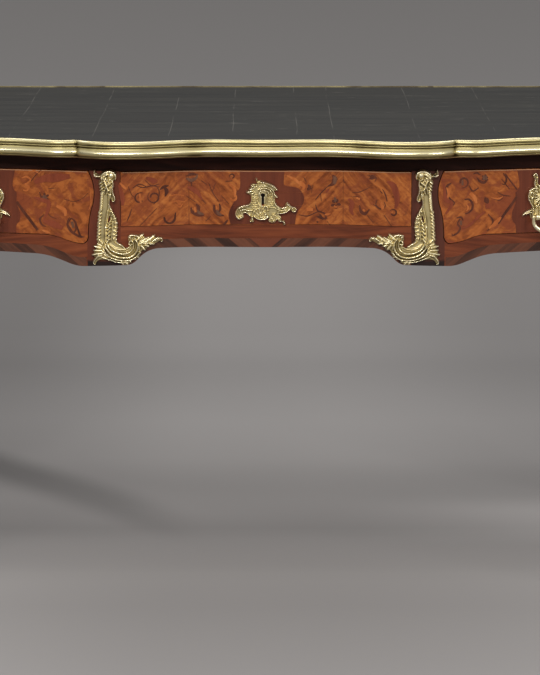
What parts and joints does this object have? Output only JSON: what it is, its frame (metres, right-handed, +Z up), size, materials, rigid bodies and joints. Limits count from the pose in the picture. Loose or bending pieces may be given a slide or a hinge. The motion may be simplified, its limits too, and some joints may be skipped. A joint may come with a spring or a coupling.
{
  "type": "writing table",
  "caption": "Serpentine writing table with a leather top, gilt-bronze edge and mounts, marquetry frieze drawers and cabriole legs.",
  "frame": {"origin": "on the floor under the middle of the table", "axes": "+X to the sitter's right, -Y the front with the drawers, +Z up"},
  "size_m": [1.6, 0.8002, 0.78],
  "materials": {
    "leather": "satin, worn black writing leather",
    "gilt_bronze": "fire-gilt cast bronze, burnished and matt",
    "tulipwood": "polished diagonal tulipwood veneer with marquetry",
    "kingwood": "polished dark crossbanding",
    "oak": "planed oak, waxed",
    "iron": "filed lock iron",
    "steel": "steel screw and pin"
  },
  "bodies": {
    "carcass": {"back_false_fronts": "tulipwood", "back_panel": "kingwood", "corner_mount_back_left": "gilt_bronze", "corner_mount_back_right": "gilt_bronze", "corner_mount_front_left": "gilt_bronze", "corner_mount_front_right": "gilt_bronze", "drawer_runners": "oak", "end_panel_left": "tulipwood", "end_panel_right": "tulipwood", "front_apron_centre": "kingwood", "front_apron_left": "kingwood", "front_apron_right": "kingwood", "front_stile_left": "kingwood", "front_stile_right": "kingwood", "front_top_rail": "kingwood", "glue_blocks": "oak", "kneehole_mount_left": "gilt_bronze", "kneehole_mount_right": "gilt_bronze", "kneehole_mounts_back": "gilt_bronze", "leather_lining": "leather", "leg_back_left": "kingwood", "leg_back_right": "kingwood", "leg_front_left": "kingwood", "leg_front_right": "kingwood", "mount_pins": "gilt_bronze", "partition_left": "oak", "partition_right": "oak", "rim_back": "gilt_bronze", "rim_back_left": "gilt_bronze", "rim_back_right": "gilt_bronze", "rim_front": "gilt_bronze", "rim_front_left": "gilt_bronze", "rim_front_right": "gilt_bronze", "sabot_back_left": "gilt_bronze", "sabot_back_right": "gilt_bronze", "sabot_front_left": "gilt_bronze", "sabot_front_right": "gilt_bronze", "top_board": "oak", "top_screws": "steel"},
    "drawer_centre": {"centre_drawer_front": "tulipwood", "centre_drawer_linings": "oak", "centre_drawer_bottom": "oak", "centre_drawer_lock_case": "iron", "centre_escutcheon": "gilt_bronze"},
    "lock_bolt_centre": {"centre_drawer_lock_bolt": "iron"},
    "drawer_left": {"left_drawer_front": "tulipwood", "left_drawer_linings": "oak", "left_drawer_bottom": "oak", "left_drawer_lock_case": "iron", "left_drawer_handle_plate": "gilt_bronze"},
    "lock_bolt_left": {"left_drawer_lock_bolt": "iron"},
    "bail_left": {"left_drawer_bail": "gilt_bronze"},
    "drawer_right": {"right_drawer_front": "tulipwood", "right_drawer_linings": "oak", "right_drawer_bottom": "oak", "right_drawer_lock_case": "iron", "right_drawer_handle_plate": "gilt_bronze"},
    "lock_bolt_right": {"right_drawer_lock_bolt": "iron"},
    "bail_right": {"right_drawer_bail": "gilt_bronze"}
  },
  "joints": [
    {"name": "drawer_centre_slide", "type": "slide", "parent": "carcass", "child": "drawer_centre", "axis": [0, -1, 0], "range_m": [0, 0.4]},
    {"name": "lock_bolt_centre_throw", "type": "slide", "parent": "drawer_centre", "child": "lock_bolt_centre", "axis": [0, 0, 1], "range_m": [0, 0.008]},
    {"name": "drawer_left_slide", "type": "slide", "parent": "carcass", "child": "drawer_left", "axis": [0, -1, 0], "range_m": [0, 0.4]},
    {"name": "lock_bolt_left_throw", "type": "slide", "parent": "drawer_left", "child": "lock_bolt_left", "axis": [0, 0, 1], "range_m": [0, 0.008]},
    {"name": "drawer_right_slide", "type": "slide", "parent": "carcass", "child": "drawer_right", "axis": [0, -1, 0], "range_m": [0, 0.4]},
    {"name": "lock_bolt_right_throw", "type": "slide", "parent": "drawer_right", "child": "lock_bolt_right", "axis": [0, 0, 1], "range_m": [0, 0.008]},
    {"name": "bail_left_swing", "type": "hinge", "parent": "drawer_left", "child": "bail_left", "pos_m": [-0.468, -0.33168, 0.652], "axis": [-1, 0, 0], "range_deg": [0, 95]},
    {"name": "bail_right_swing", "type": "hinge", "parent": "drawer_right", "child": "bail_right", "pos_m": [0.468, -0.33168, 0.652], "axis": [-1, 0, 0], "range_deg": [0, 95]}
  ]
}
